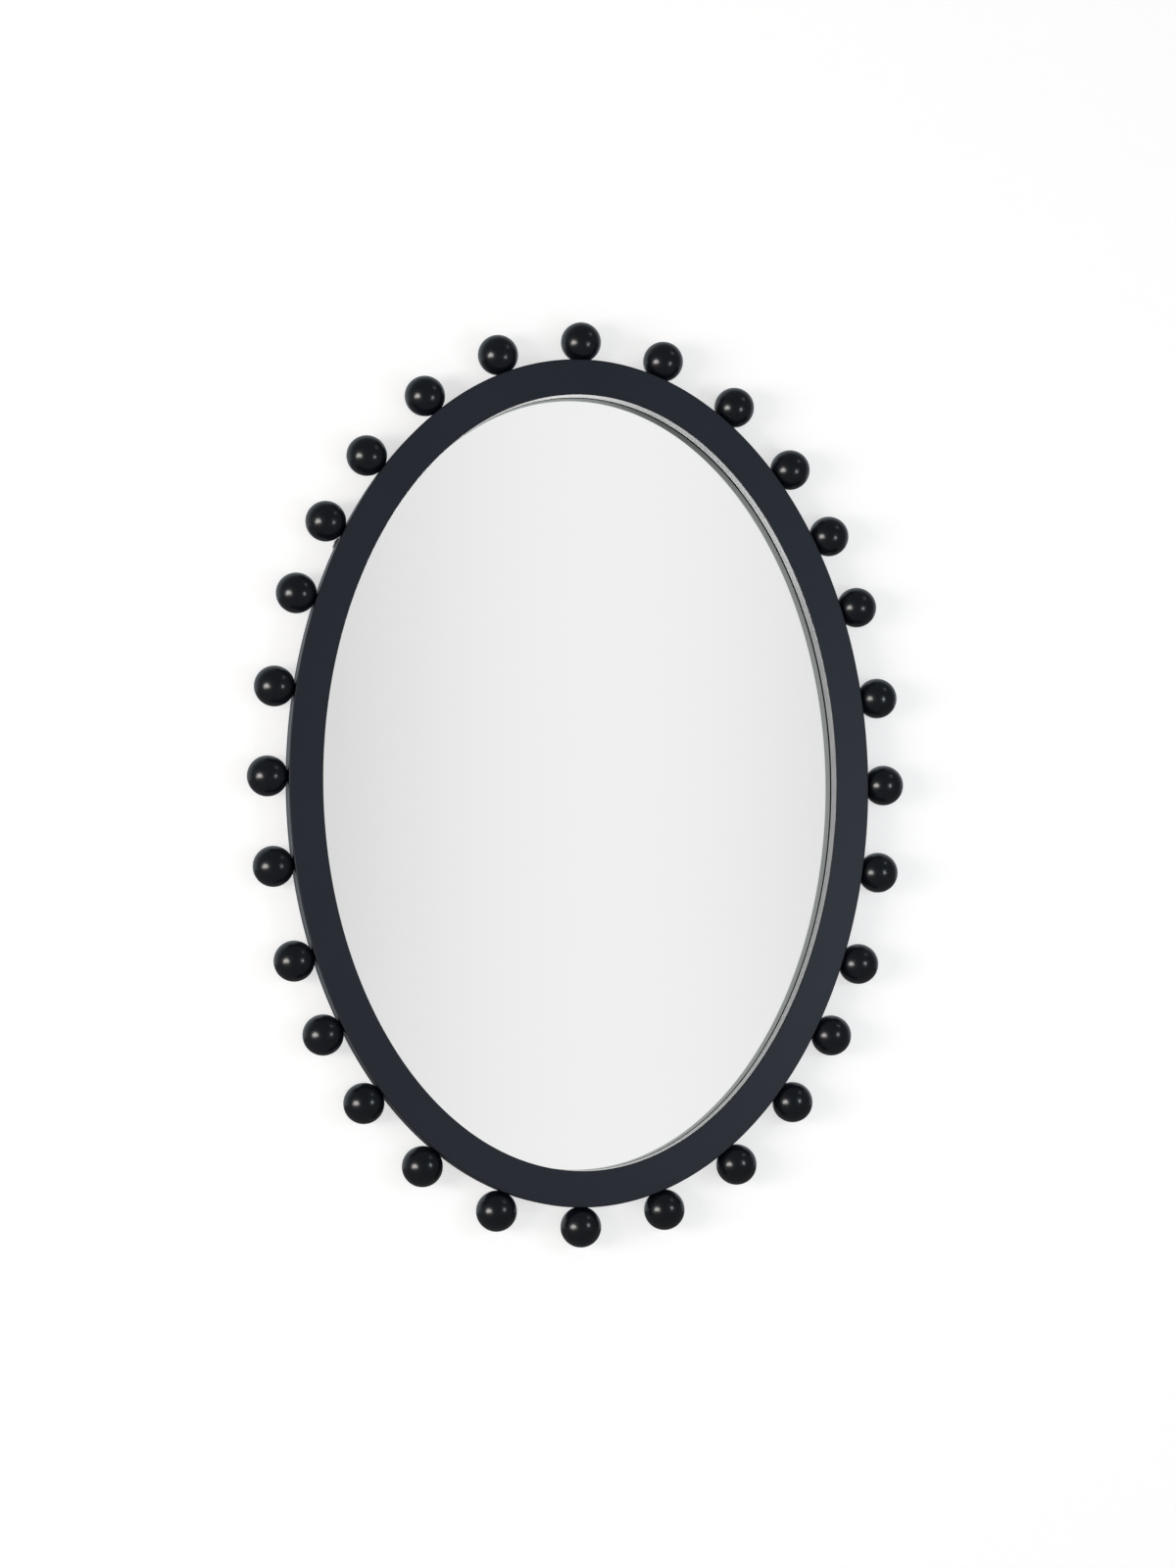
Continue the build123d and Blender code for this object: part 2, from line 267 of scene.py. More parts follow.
class Value:
    """A number on the surface. Sums, products and the like add the nodes that work them out."""

    def __init__(self, graph, socket):
        self.graph = graph
        self.socket = socket

    def maths(self, operation, *terms):
        node = self.graph.add("ShaderNodeMath", {"operation": operation}, dict(enumerate(terms)))
        return Value(self.graph, node.outputs[0])

    def __add__(self, other):
        return self.maths("ADD", self, other)

    __radd__ = __add__

    def __sub__(self, other):
        return self.maths("SUBTRACT", self, other)

    def __rsub__(self, other):
        return self.maths("SUBTRACT", other, self)

    def __mul__(self, other):
        return self.maths("MULTIPLY", self, other)

    __rmul__ = __mul__

    def __truediv__(self, other):
        return self.maths("DIVIDE", self, other)

    def at_least(self, other):
        return self.maths("MAXIMUM", self, other)

    def at_most(self, other):
        return self.maths("MINIMUM", self, other)

    def eased(self, low, high):
        """Nothing up to low, one from high on, and smooth between them."""
        node = self.graph.add(
            "ShaderNodeMapRange",
            {"interpolation_type": "SMOOTHSTEP"},
            {"Value": self, "From Min": low, "From Max": high},
        )
        return Value(self.graph, node.outputs["Result"])


class Graph:
    """The nodes of one material or world."""

    def __init__(self, owner):
        owner.use_nodes = True
        self.tree = owner.node_tree
        self.tree.nodes.clear()

    def add(self, kind, settings=None, inputs=None):
        """One node of a type. Its settings are made first, then its sockets are filled."""
        node = self.tree.nodes.new(kind)
        for name, setting in (settings or {}).items():
            setattr(node, name, setting)
        for name, given in (inputs or {}).items():
            socket = node.inputs[name]
            if isinstance(given, Value):
                self.tree.links.new(given.socket, socket)
            elif isinstance(given, bpy.types.NodeSocket):
                self.tree.links.new(given, socket)
            elif socket.type == "RGBA":
                socket.default_value = (*given, 1)
            else:
                socket.default_value = given
        return node

    def value(self, kind, output, settings=None, inputs=None):
        """One number that a node gives."""
        return Value(self, self.add(kind, settings, inputs).outputs[output])

    def place(self):
        """Where a point is on its own piece, in metres."""
        return self.add("ShaderNodeTexCoord").outputs["Object"]

    def stretched(self, scale):
        """The place on the piece with each axis stretched."""
        node = self.add(
            "ShaderNodeVectorMath", {"operation": "MULTIPLY"}, {0: self.place(), 1: scale}
        )
        return node.outputs[0]

    def noise(self, scale, detail=2.0, roughness=0.5, vector=None, shift=0.0):
        """A cloudy pattern from nothing to one."""
        return self.value(
            "ShaderNodeTexNoise",
            "Fac",
            {"noise_dimensions": "4D"},
            {
                "Vector": vector or self.place(),
                "W": shift,
                "Scale": scale,
                "Detail": detail,
                "Roughness": roughness,
            },
        )

    def painted_on(self, name):
        """A number that the mesh carries at its points."""
        return self.value("ShaderNodeAttribute", "Fac", {"attribute_name": name})

    def mix(self, factor, first, second):
        """A colour between two others."""
        node = self.add(
            "ShaderNodeMix", {"data_type": "RGBA"}, {"Factor": factor, 6: first, 7: second}
        )
        return node.outputs[2]

    def bump(self, height, distance):
        """A surface normal bent by a height that is a share of a distance in metres."""
        node = self.add("ShaderNodeBump", None, {"Height": height, "Distance": distance})
        return node.outputs["Normal"]

    def rays(self):
        """Whether a ray comes from the camera, off a shiny surface or out of glass."""
        path = self.add("ShaderNodeLightPath")
        names = ("Is Camera Ray", "Is Glossy Ray", "Is Transmission Ray")
        camera, glossy, through = (Value(self, path.outputs[name]) for name in names)
        return camera, glossy * (1 - through), through

    def both(self, first, second):
        """Two shaders added."""
        inputs = {0: first.outputs[0], 1: second.outputs[0]}
        return self.add("ShaderNodeAddShader", None, inputs)

    def either(self, factor, first, second):
        """One shader or another."""
        inputs = {0: factor, 1: first.outputs[0], 2: second.outputs[0]}
        return self.add("ShaderNodeMixShader", None, inputs)

    def glow(self, strength):
        """A shader that is equally bright from everywhere."""
        return self.add("ShaderNodeEmission", None, {"Color": (1, 1, 1), "Strength": strength})

    def surface(self, shader):
        """What the material shows."""
        self.add("ShaderNodeOutputMaterial", None, {"Surface": shader.outputs[0]})


def shaded(colour_value, factor):
    """A colour made darker or lighter."""
    return tuple(min(1.0, part * factor) for part in colour_value)


def finish(name, build, *given):
    """A material whose surface is one shader with the inputs that build works out."""
    material = bpy.data.materials.new(name)
    graph = Graph(material)
    shader = graph.add("ShaderNodeBsdfPrincipled", None, build(graph, *given))
    graph.surface(shader)
    return material


def frame_paint(graph, finishes):
    """Satin black paint on routed fibreboard, slicker on the sides and sprayed lightly behind, with
    painted shade darkening the rounded edges.
    """
    arris = graph.painted_on("arris")
    side = graph.painted_on("side")
    behind = graph.painted_on("behind")
    clouds = graph.noise(scale=9, detail=4)
    specks = graph.noise(scale=900, detail=3, roughness=0.7)
    peel = graph.noise(scale=320, detail=2)
    waves = graph.noise(scale=34, detail=1)
    thin = (behind * graph.noise(scale=55, detail=5, roughness=0.65)).eased(0.52, 0.72)
    black = graph.mix(
        clouds, shaded(finishes.frame_black, 0.86), shaded(finishes.frame_black, 1.16)
    )
    patchy = graph.mix(thin * 0.4, black, shaded(finishes.fibreboard, 0.35))
    # Painted shade: the rounded edges are darkened in the base colour in place of the darker
    # reflections they show
    deep = graph.mix(arris * 0.7, patchy, shaded(finishes.frame_black, 0.15))
    rough = finishes.frame_rough + 0.07 * clouds - 0.2 * side + 0.22 * behind + 0.04 * specks
    height = 0.5 * peel + 0.3 * specks * (1 + 2 * behind) + waves * side * 2.2
    return {
        "Base Color": deep,
        "Roughness": rough,
        "IOR": 1.5,
        "Coat Weight": (side - 0.6 * arris).at_least(0) * (1 - behind),
        "Coat Roughness": 0.15,
        "Coat IOR": 2.0,
        "Normal": graph.bump(height, finishes.frame_relief),
    }


def bead_paint(graph, finishes):
    """Satin black paint on turned wood, with the grain just felt through it."""
    chance = graph.value("ShaderNodeObjectInfo", "Random")
    grain = graph.noise(
        scale=1, detail=4, vector=graph.stretched((60, 700, 420)), shift=chance * 40
    )
    clouds = graph.noise(scale=45, detail=3, shift=chance * 40)
    peel = graph.noise(scale=420, detail=2, shift=chance * 40)
    black = graph.mix(
        clouds, shaded(finishes.bead_black, 0.82), shaded(finishes.bead_black, 1.25)
    )
    return {
        "Base Color": black,
        "Roughness": finishes.bead_rough + 0.05 * clouds + 0.03 * grain,
        "IOR": 1.62,
        "Normal": graph.bump(0.5 * peel + 0.5 * grain, finishes.bead_relief),
    }


def clear_glass(graph, finishes):
    """Float glass with a trace of wiping on it."""
    wipes = graph.noise(scale=1, detail=4, vector=graph.stretched((5, 5, 1.2)))
    return {
        "Base Color": tuple(finishes.glass_tint),
        "Roughness": wipes.eased(0.62, 0.95) * 0.006,
        "IOR": 1.52,
        "Transmission Weight": 1.0,
    }


def silvering(graph, finishes):
    """The mirror's metal film, a little uneven."""
    clouds = graph.noise(scale=3.5, detail=2)
    return {
        "Base Color": graph.mix(clouds, shaded(finishes.silver, 0.99), tuple(finishes.silver)),
        "Metallic": 1.0,
        "Roughness": clouds * 0.004,
    }


def bare_fibreboard(graph, finishes):
    """Pressed wood fibre with fine speckles and a fuzzy surface."""
    fibres = graph.noise(scale=1, detail=5, roughness=0.7, vector=graph.stretched((900, 900, 260)))
    flecks = graph.noise(scale=420, detail=3, roughness=0.75)
    patches = graph.noise(scale=7, detail=3)
    base = graph.mix(
        patches, shaded(finishes.fibreboard, 0.86), shaded(finishes.fibreboard, 1.12)
    )
    fibrous = graph.mix(fibres.eased(0.45, 0.7) * 0.45, base, shaded(finishes.fibreboard, 0.5))
    flecked = graph.mix(flecks.eased(0.6, 0.72) * 0.6, fibrous, shaded(finishes.fibreboard, 1.9))
    return {
        "Base Color": flecked,
        "Roughness": finishes.board_rough + 0.16 * flecks,
        "Specular IOR Level": 0.3,
        "Normal": graph.bump(fibres + 0.6 * flecks, finishes.board_relief),
    }


def zinc_plate(graph, finishes):
    """Bright zinc plate with a faint blue and yellow bloom and drawing marks."""
    bloom = graph.noise(scale=160, detail=2)
    marks = graph.noise(scale=1, detail=3, vector=graph.stretched((500, 500, 4200)))
    cool = graph.mix(bloom, shaded(finishes.zinc, 0.9), (0.7, 0.69, 0.64))
    return {
        "Base Color": graph.mix(marks * 0.35, cool, shaded(finishes.zinc, 0.72)),
        "Metallic": 1.0,
        "Roughness": finishes.zinc_rough + 0.12 * bloom + 0.08 * marks,
        "Normal": graph.bump(marks + bloom, finishes.zinc_relief),
    }


def moulded_rubber(graph, finishes):
    """Moulded rubber with a matt spark-eroded texture and a dusting of bloom."""
    grit = graph.noise(scale=1400, detail=3, roughness=0.7)
    dust = graph.noise(scale=240, detail=3)
    return {
        "Base Color": graph.mix(
            dust.eased(0.5, 0.8) * 0.5, tuple(finishes.rubber), shaded(finishes.rubber, 2.6)
        ),
        "Roughness": finishes.rubber_rough + 0.16 * dust,
        "Normal": graph.bump(grit, finishes.rubber_relief),
    }


def closed_foam(graph, finishes):
    """Closed-cell foam sheet."""
    cells = graph.value(
        "ShaderNodeTexVoronoi", "Distance", None, {"Vector": graph.place(), "Scale": 900.0}
    )
    return {
        "Base Color": graph.mix(cells, shaded(finishes.foam, 0.8), tuple(finishes.foam)),
        "Roughness": finishes.foam_rough + 0.1 * cells,
        "Normal": graph.bump(cells, finishes.foam_relief),
    }


def dowel_beech(graph, finishes):
    """Beech dowel with its grain and pores."""
    grain = graph.noise(scale=1, detail=5, vector=graph.stretched((240, 240, 240)))
    pores = graph.noise(scale=2600, detail=2)
    base = graph.mix(grain, shaded(finishes.beech, 0.78), shaded(finishes.beech, 1.1))
    return {
        "Base Color": graph.mix(pores.eased(0.6, 0.75) * 0.4, base, shaded(finishes.beech, 0.5)),
        "Roughness": finishes.beech_rough + 0.15 * pores,
        "Normal": graph.bump(pores, finishes.beech_relief),
    }


def dress(node, material):
    """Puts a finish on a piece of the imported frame."""
    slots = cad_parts[node].material_slots
    for slot in slots:
        slot.material = material


def seated(name, mesh, material, slot, *stood_for):
    """A finished piece that rides on the frame in place of packed ones."""
    piece = bpy.data.objects.new(name, mesh)
    bpy.context.scene.collection.objects.link(piece)
    if not mesh.materials:
        mesh.materials.append(material)
    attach(piece, "frame")
    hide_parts(*stood_for)
    return piece


def mesh_from(bm, name):
    """A smooth mesh with its normals outward and its real corners kept sharp."""
    bmesh.ops.recalc_face_normals(bm, faces=bm.faces)
    mesh = bpy.data.meshes.new(name)
    bm.to_mesh(mesh)
    bm.free()
    mesh.shade_smooth()
    mesh.set_sharp_from_angle(angle=SHARP_ANGLE)
    return mesh


def flat_faces_first(piece):
    """Lets the wide flat faces set the shading, so that the roundings stay narrow."""
    weighted = piece.modifiers.new("weighted_shading", "WEIGHTED_NORMAL")
    weighted.keep_sharp = True


def outer_oval(sizes, reach):
    """Half width and half height a reach outside the frame's edge."""
    return sizes.face_width / 2 + reach, sizes.face_height / 2 + reach


def opening_oval(sizes, reach):
    """Half width and half height a reach outside the opening's edge."""
    half_x, half_z = outer_oval(sizes, 0)
    return half_x - sizes.rail_at_sides + reach, half_z - sizes.rail_at_ends + reach


def level(oval, standoff, arris=0.0, side=0.0, behind=0.0):
    """One line round the frame: its oval, its distance from the wall and what it carries."""
    return {"oval": oval, "standoff": standoff, "arris": arris, "side": side, "behind": behind}


def corner(oval, sizes, into, standoff, towards, radius, slick=1.0, behind=0.0):
    """Levels down a rounded corner, from a face to a side."""
    levels = []
    for step in range(ROUND_STEPS + 1):
        turn = math.pi / 2 * step / ROUND_STEPS
        inset = radius * (1 - math.sin(turn))
        depth = radius * (1 - math.cos(turn))
        # arris peaks halfway round each rounding and masks the painted edge shade in frame_paint
        levels.append(
            level(
                oval(sizes, into * inset),
                standoff + towards * depth,
                arris=math.sin(2 * turn),
                side=slick * step / ROUND_STEPS,
                behind=behind,
            )
        )
    return levels


def oval_loop(bm, levels):
    """Rings of points round the oval, one for each level, with what each level carries."""
    layers = {name: bm.verts.layers.float.new(name) for name in ("arris", "side", "behind")}
    rings = []
    for line in levels:
        half_x, half_z = line["oval"]
        ring = []
        for step in range(OVAL_STEPS):
            turn = math.tau * step / OVAL_STEPS
            point = (half_x * math.sin(turn), -line["standoff"], half_z * math.cos(turn))
            vert = bm.verts.new(point)
            for name, layer in layers.items():
                vert[layer] = line[name]
            ring.append(vert)
        rings.append(ring)
    return rings


def skin(bm, first, second):
    """A band of faces between two closed rings of points."""
    for step in range(len(first)):
        after = (step + 1) % len(first)
        bm.faces.new((first[step], first[after], second[after], second[step]))


def front_layer_levels(sizes):
    """Round the section of the front layer: opening, seam, outer side and face."""
    levels = corner(opening_oval, sizes, 1, face_standoff, -1, sizes.face_round)
    levels += corner(opening_oval, sizes, 1, seam_standoff, 1, sizes.seam_ease)[::-1]
    levels += corner(outer_oval, sizes, -1, seam_standoff, 1, sizes.seam_ease, OUTER_SLICK)
    levels += corner(outer_oval, sizes, -1, face_standoff, -1, sizes.face_round, OUTER_SLICK)[::-1]
    return levels


def back_layer_levels(sizes):
    """Round the section of the back layer, with the steps for the glass and the board."""
    levels = corner(opening_oval, sizes, 1, seam_standoff, -1, sizes.seam_ease)
    levels.append(level(opening_oval(sizes, 0), glass_front, side=1))
    glass_edge = opening_oval(sizes, sizes.glass_pocket)
    board_edge = opening_oval(sizes, sizes.board_pocket)
    levels.append(level(glass_edge, glass_front, behind=1))
    levels.append(level(glass_edge, board_front, behind=1))
    levels.append(level(board_edge, board_front, behind=1))
    levels.append(level(board_edge, back_standoff, behind=1))
    levels += corner(outer_oval, sizes, -1, back_standoff, 1, sizes.back_ease, OUTER_SLICK, 1)
    levels += corner(outer_oval, sizes, -1, seam_standoff, -1, sizes.seam_ease, OUTER_SLICK)[::-1]
    return levels


def frame_layer(name, levels):
    """The mesh of one layer of the frame."""
    bm = bmesh.new()
    rings = oval_loop(bm, levels)
    for number, ring in enumerate(rings):
        skin(bm, ring, rings[(number + 1) % len(rings)])
    return mesh_from(bm, name)


def pane_mesh(frame_sizes, sizes, glass, silver):
    """The glass with its ground arrises, and the silvering as its back face."""
    full = opening_oval(frame_sizes, sizes.cover)
    ground = opening_oval(frame_sizes, sizes.cover - sizes.arris)
    bm = bmesh.new()
    rings = oval_loop(
        bm,
        [
            level(ground, glass_front),
            level(full, glass_front - sizes.arris),
            level(full, glass_back + sizes.arris),
            level(ground, glass_back + FILM_CLEARANCE),
        ],
    )
    for first, second in zip(rings, rings[1:]):
        skin(bm, first, second)
    bm.faces.new(rings[0])
    film = bm.faces.new(rings[-1])
    film.material_index = 1
    mesh = mesh_from(bm, "mirror_glass_sheet")
    mesh.materials.append(glass)
    mesh.materials.append(silver)
    return mesh


def turned_mesh(outline, steps):
    """Points of radius and height, from the axis round to the axis, turned round Z."""
    bm = bmesh.new()
    rings = []
    for radius, height in outline:
        if radius == 0:
            rings.append([bm.verts.new((0, 0, height))])
            continue
        turns = [math.tau * step / steps for step in range(steps)]
        ring = [(radius * math.cos(turn), radius * math.sin(turn), height) for turn in turns]
        rings.append([bm.verts.new(point) for point in ring])
    for first, second in zip(rings, rings[1:]):
        if len(first) == 1:
            for step in range(steps):
                bm.faces.new((first[0], second[step], second[(step + 1) % steps]))
        elif len(second) == 1:
            for step in range(steps):
                bm.faces.new((second[0], first[(step + 1) % steps], first[step]))
        else:
            skin(bm, first, second)
    return bm


def bead_mesh(sizes):
    """A ball with the flat that sits on the frame. Z points away from the frame."""
    radius = sizes.diameter / 2
    centre = radius - sizes.flat_depth
    last_turn = math.acos(-centre / radius)
    outline = []
    for step in range(BEAD_STEPS_DOWN + 1):
        turn = last_turn * step / BEAD_STEPS_DOWN
        outline.append((radius * math.sin(turn), centre + radius * math.cos(turn)))
    outline[0] = (0, centre + radius)
    outline.append((0, 0))
    return mesh_from(turned_mesh(outline, BEAD_STEPS_ROUND), "bead_painted")


def bead_shares(sizes):
    """Where each bead sits, as a share of the way round clockwise from the top."""
    quarter = list(sizes.spacings)
    steps = 2 * (quarter + quarter[::-1])
    shares = [sum(steps[:number]) / sum(steps) for number in range(len(steps))]
    return shares


def turns_at_shares(half_x, half_z, shares):
    """The oval's own angle at each share of its length, clockwise from the top."""
    turns = [math.tau * step / ARC_SAMPLES for step in range(ARC_SAMPLES + 1)]
    points = [Vector((half_x * math.sin(turn), half_z * math.cos(turn))) for turn in turns]
    run = [0.0]
    for first, second in zip(points, points[1:]):
        run.append(run[-1] + (second - first).length)
    found = []
    step = 0
    for wanted in shares:
        while run[step + 1] < wanted * run[-1]:
            step += 1
        part = (wanted * run[-1] - run[step]) / (run[step + 1] - run[step])
        found.append(turns[step] + part * (turns[step + 1] - turns[step]))
    return found


def bead_seats(frame_sizes, sizes):
    """A place on the frame's edge for each bead, with Z outward and Y towards the wall."""
    half_x, half_z = outer_oval(frame_sizes, 0)
    middle = (face_standoff + back_standoff) / 2
    seats = []
    for turn in turns_at_shares(half_x, half_z, bead_shares(sizes)):
        outward = Vector((math.sin(turn) / half_x, 0, math.cos(turn) / half_z)).normalized()
        wallward = Vector((0, 1, 0))
        along = wallward.cross(outward)
        seat = Matrix((along, wallward, outward)).transposed().to_4x4()
        seat.translation = (half_x * math.sin(turn), -middle, half_z * math.cos(turn))
        seats.append(seat)
    return seats


def check_seat(node, place, allowed):
    """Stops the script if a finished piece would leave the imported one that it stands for."""
    low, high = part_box(node)
    off = ((low + high) / 2 - place).length
    if off > allowed:
        raise RuntimeError(f"{node} is {off / MM:.2f} mm from its finished piece")


def separate_solids(node):
    """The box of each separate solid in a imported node."""
    bm = bmesh.new()
    bm.from_mesh(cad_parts[node].data)
    bmesh.ops.remove_doubles(bm, verts=bm.verts, dist=SAME_POINT)
    left = set(bm.verts)
    boxes = []
    while left:
        found = {left.pop()}
        edge_of_search = list(found)
        while edge_of_search:
            vert = edge_of_search.pop()
            for edge in vert.link_edges:
                other = edge.other_vert(vert)
                if other in left:
                    left.remove(other)
                    found.add(other)
                    edge_of_search.append(other)
        corners = [vert.co for vert in found]
        low = Vector(min(co[axis] for co in corners) for axis in range(3))
        high = Vector(max(co[axis] for co in corners) for axis in range(3))
        boxes.append((low, high))
    bm.free()
    return boxes


def block(name, half_x, half_y, low, high):
    """A cutter for one arm of a cross recess, narrower at its foot."""
    bm = bmesh.new()
    corners = [(-1, -1), (1, -1), (1, 1), (-1, 1)]
    top = [bm.verts.new((x * half_x, y * half_y, high)) for x, y in corners]
    foot_x = half_x * RECESS_TAPER
    foot_y = half_y * RECESS_TAPER
    foot = [bm.verts.new((x * foot_x, y * foot_y, low)) for x, y in corners]
    bm.faces.new(top)
    bm.faces.new(foot[::-1])
    skin(bm, top, foot)
    return bpy.data.objects.new(name, mesh_from(bm, name))


def cross_cut(head, sizes, radius):
    """The head's mesh with a cross recess cut into its crown, which is at height nothing."""
    piece = bpy.data.objects.new("screw_head", head)
    arm = radius * sizes.arm_share
    width = sizes.arm_width / 2
    foot = -sizes.recess_depth
    top = sizes.recess_depth
    cutters = [
        block("arm_along", arm, width, foot, top),
        block("arm_across", width, arm, foot, top),
    ]
    for thing in (piece, *cutters):
        bpy.context.scene.collection.objects.link(thing)
    for cutter in cutters:
        cut = piece.modifiers.new("recess", "BOOLEAN")
        cut.operation = "DIFFERENCE"
        cut.object = cutter
        cut.solver = "EXACT"
    scene_now = bpy.context.evaluated_depsgraph_get()
    mesh = bpy.data.meshes.new_from_object(piece.evaluated_get(scene_now))
    for thing in (piece, *cutters):
        bpy.data.objects.remove(thing)
    mesh.set_sharp_from_angle(angle=SHARP_ANGLE)
    return mesh


def countersunk_outline(low, high):
    """A board screw's outline: flat head, cone, shank and point. Z is towards the wall."""
    radius = (high.x - low.x) / 2
    shank = radius * SHANK_SHARE
    deep = low.y - high.y
    cone = radius - shank
    rim = [(0, 0), (radius, 0), (radius, -HEAD_RIM)]
    return rim + [(shank, -cone), (shank, deep + shank), (0, deep)]


def domed_outline(low, high, dome, head_height):
    """A strap screw's outline: domed head, shank and point. Z is towards the wall."""
    radius = (high.x - low.x) / 2
    shank = radius * SHANK_SHARE
    deep = low.y - high.y
    outline = [(0, 0)]
    flat = radius - dome
    for step in range(ROUND_STEPS + 1):
        turn = math.pi / 2 * step / ROUND_STEPS
        outline.append((flat + dome * math.sin(turn), -dome * (1 - math.cos(turn))))
    outline += [(radius, -head_height), (shank, -head_height), (shank, deep + shank), (0, deep)]
    return outline


def screws_mesh(name, node, head):
    """All the screws of a node as one mesh, each turned by its own amount."""
    bm = bmesh.new()
    into_wall = Matrix.Rotation(math.radians(-90), 4, "X")
    for number, (low, high) in enumerate(separate_solids(node)):
        place = Matrix.Translation(((low.x + high.x) / 2, high.y, (low.z + high.z) / 2))
        turn = Matrix.Rotation(number * SCREW_TURN_STEP, 4, "Z")
        added = bm.verts[:]
        bm.from_mesh(head)
        fresh = [vert for vert in bm.verts if vert not in set(added)]
        bmesh.ops.transform(bm, matrix=place @ into_wall @ turn, verts=fresh)
    return mesh_from(bm, name)


class OVALMIRROR_OT_frame_layers(bpy.types.Operator):
    """Makes the two painted layers of the frame."""

    bl_idname = "oval_mirror.frame_layers"
    bl_label = "Frame layers"

    def execute(self, context):
        sizes = context.scene.mirror_frame
        paint = finish("frame_satin_black", frame_paint, context.scene.mirror_finishes)
        front = frame_layer("frame_front_layer", front_layer_levels(sizes))
        back = frame_layer("frame_back_layer", back_layer_levels(sizes))
        pieces = [
            seated("frame_front_layer", front, paint, "frame_paint", "front_ring"),
            seated("frame_back_layer", back, paint, "frame_paint", "back_ring"),
        ]
        for piece in pieces:
            flat_faces_first(piece)
        return {"FINISHED"}


class OVALMIRROR_OT_glass(bpy.types.Operator):
    """Makes the glass with its silvering."""

    bl_idname = "oval_mirror.glass"
    bl_label = "Mirror glass"

    def execute(self, context):
        finishes = context.scene.mirror_finishes
        glass = finish("float_glass", clear_glass, finishes)
        silver = finish("silvering", silvering, finishes)
        mesh = pane_mesh(context.scene.mirror_frame, context.scene.mirror_glass, glass, silver)
        seated("mirror_glass_sheet", mesh, glass, "mirror_glass", "mirror_pane")
        return {"FINISHED"}


class OVALMIRROR_OT_beads(bpy.types.Operator):
    """Makes the painted beads on the frame's edge and finishes the dowels inside them."""

    bl_idname = "oval_mirror.beads"
    bl_label = "Beads"

    def execute(self, context):
        sizes = context.scene.mirror_beads
        finishes = context.scene.mirror_finishes
        paint = finish("bead_satin_black", bead_paint, finishes)
        mesh = bead_mesh(sizes)
        mesh.materials.append(paint)
        out = Vector((0, 0, sizes.diameter / 2 - sizes.flat_depth))
        for number, seat in enumerate(bead_seats(context.scene.mirror_frame, sizes), start=1):
            node = f"bead_{number:02d}"
            check_seat(node, seat @ out, sizes.flat_depth)
            piece = seated(f"bead_painted_{number:02d}", mesh, paint, "bead_paint", node)
            quarter_turns = Matrix.Rotation(math.pi / 2 * number, 4, "Z")
            piece.matrix_world = seat @ quarter_turns
        dress("bead_dowels", finish("dowel_beech", dowel_beech, finishes))
        return {"FINISHED"}


class OVALMIRROR_OT_backing(bpy.types.Operator):
    """Finishes the backing board and the foam, and makes the screws that hold them."""

    bl_idname = "oval_mirror.backing"
    bl_label = "Backing board"

    def execute(self, context):
        sizes = context.scene.mirror_screws
        finishes = context.scene.mirror_finishes
        zinc = finish("board_screw_zinc", zinc_plate, finishes)
        low, high = separate_solids("board_screws")[0]
        outline = countersunk_outline(low, high)
        screw = mesh_from(turned_mesh(outline, SCREW_STEPS), "board_screw")
        head = cross_cut(screw, sizes, (high.x - low.x) / 2)
        mesh = screws_mesh("board_screws_cross", "board_screws", head)
        mesh.materials.append(zinc)
        seated("board_screws_cross", mesh, zinc, "zinc_steel", "board_screws")
        dress("backing_board", finish("bare_fibreboard", bare_fibreboard, finishes))
        dress("foam_sheet", finish("closed_foam", closed_foam, finishes))
        return {"FINISHED"}


class OVALMIRROR_OT_hangers(bpy.types.Operator):
    """Finishes the strap hangers and their rings, and makes their screws."""

    bl_idname = "oval_mirror.hangers"
    bl_label = "Strap hangers"

    def execute(self, context):
        sizes = context.scene.mirror_screws
        zinc = finish("hanger_zinc", zinc_plate, context.scene.mirror_finishes)
        low, high = separate_solids("hanger_screws")[0]
        outline = domed_outline(low, high, sizes.dome, sizes.domed_height)
        screw = mesh_from(turned_mesh(outline, SCREW_STEPS), "strap_screw")
        head = cross_cut(screw, sizes, (high.x - low.x) / 2)
        mesh = screws_mesh("hanger_screws_cross", "hanger_screws", head)
        mesh.materials.append(zinc)
        seated("hanger_screws_cross", mesh, zinc, "zinc_steel", "hanger_screws")
        for side in ("left", "right"):
            dress(f"hanger_strap_{side}", zinc)
            dress(f"hanger_ring_{side}", zinc)
        return {"FINISHED"}


class OVALMIRROR_OT_bumpers(bpy.types.Operator):
    """Finishes the wall bumpers."""

    bl_idname = "oval_mirror.bumpers"
    bl_label = "Wall bumpers"

    def execute(self, context):
        rubber = finish("moulded_rubber", moulded_rubber, context.scene.mirror_finishes)
        for level_name in ("upper", "lower"):
            for side in ("left", "right"):
                dress(f"wall_bumper_{level_name}_{side}", rubber)
        return {"FINISHED"}


def stage_sheet(name, corners, material):
    """A flat sheet of the stage."""
    bm = bmesh.new()
    bm.faces.new([bm.verts.new(corner_point) for corner_point in corners])
    mesh = bpy.data.meshes.new(name)
    bm.to_mesh(mesh)
    bm.free()
    mesh.materials.append(material)
    sheet = bpy.data.objects.new(name, mesh)
    bpy.context.scene.collection.objects.link(sheet)
    return sheet


def wall_material(settings):
    """White wall that keeps soft shadows. It is there only for views from in front of it."""
    material = bpy.data.materials.new("studio_wall")
    graph = Graph(material)
    camera, _, through = graph.rays()
    facing = 1 - graph.value("ShaderNodeNewGeometry", "Backfacing")
    paint = graph.add("ShaderNodeBsdfDiffuse", None, {"Color": tuple(settings.wall_white)})
    wall = graph.both(paint, graph.glow(settings.wall_glow))
    clear = graph.add("ShaderNodeBsdfTransparent")
    graph.surface(graph.either(facing * camera.at_least(through), clear, wall))
    return material


